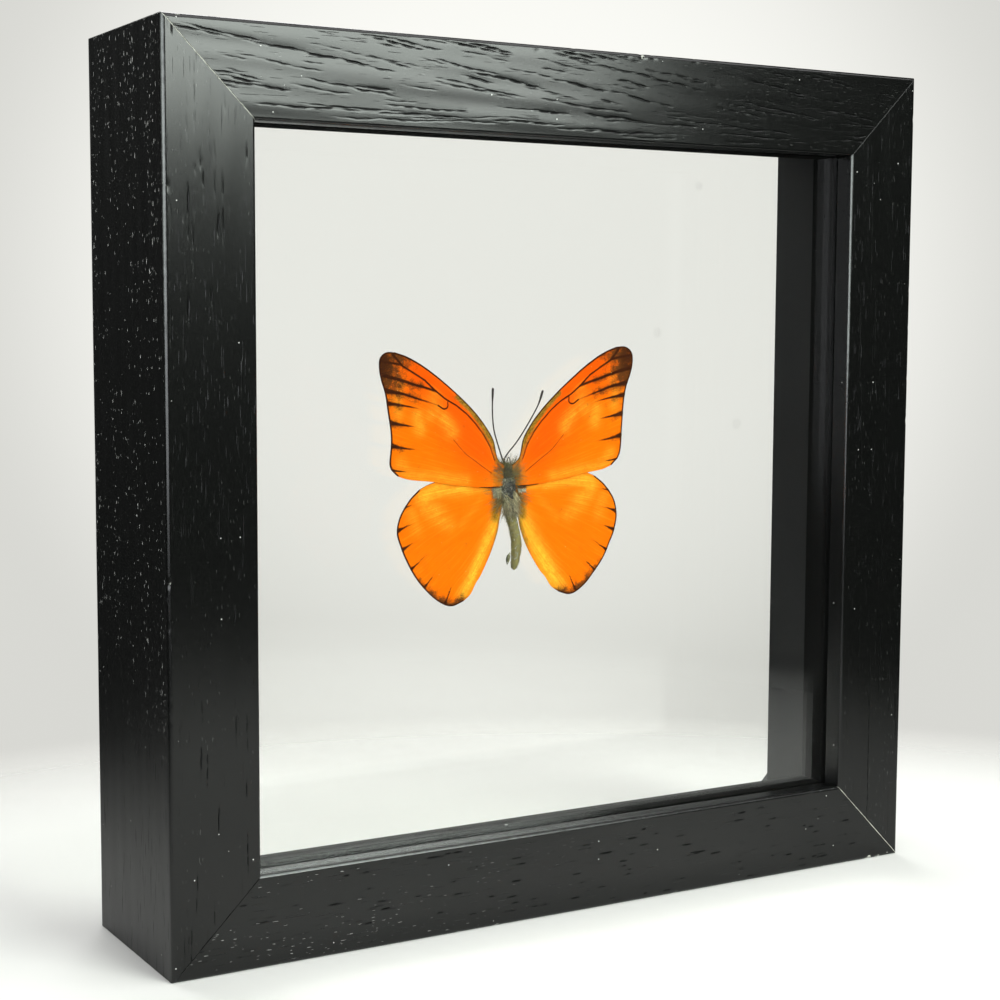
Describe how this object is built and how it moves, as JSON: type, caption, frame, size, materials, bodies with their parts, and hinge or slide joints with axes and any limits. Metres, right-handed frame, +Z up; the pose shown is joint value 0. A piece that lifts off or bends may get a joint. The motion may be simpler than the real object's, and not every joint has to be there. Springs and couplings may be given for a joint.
{
  "type": "framed butterfly specimen",
  "caption": "Square black wooden box frame with clear glass front and back, holding a set orange butterfly that is glued by its thorax to the back pane.",
  "frame": {"origin": "middle of the underside, half way through the depth", "axes": "+Z up, +X to the right seen from the front, +Y from the front face to the back"},
  "size_m": [0.18, 0.041, 0.18],
  "materials": {
    "painted_wood": "black semi-gloss paint over open-pored wood",
    "black_strip": "smooth black",
    "clear_glass": "clear sheet glass",
    "wing": "matt orange scales with dark brown veins and margins",
    "body_fur": "olive-grey hair, paler at the sides",
    "antenna": "dark brown horn",
    "clear_glue": "clear set glue"
  },
  "bodies": {
    "root": {"rail_bottom": "painted_wood", "rail_left": "painted_wood", "rail_top": "painted_wood", "rail_right": "painted_wood", "spacer_bottom": "black_strip", "spacer_left": "black_strip", "spacer_top": "black_strip", "spacer_right": "black_strip", "liner_bottom": "black_strip", "liner_left": "black_strip", "liner_top": "black_strip", "liner_right": "black_strip", "corner_block_bottom_left": "black_strip", "corner_block_top_left": "black_strip", "corner_block_top_right": "black_strip", "corner_block_bottom_right": "black_strip", "front_glass": "clear_glass", "back_glass": "clear_glass", "forewing_left": "wing", "forewing_right": "wing", "hindwing_left": "wing", "hindwing_right": "wing", "body": "body_fur", "antenna_left": "antenna", "antenna_right": "antenna", "glue_drop": "clear_glue"}
  },
  "joints": []
}
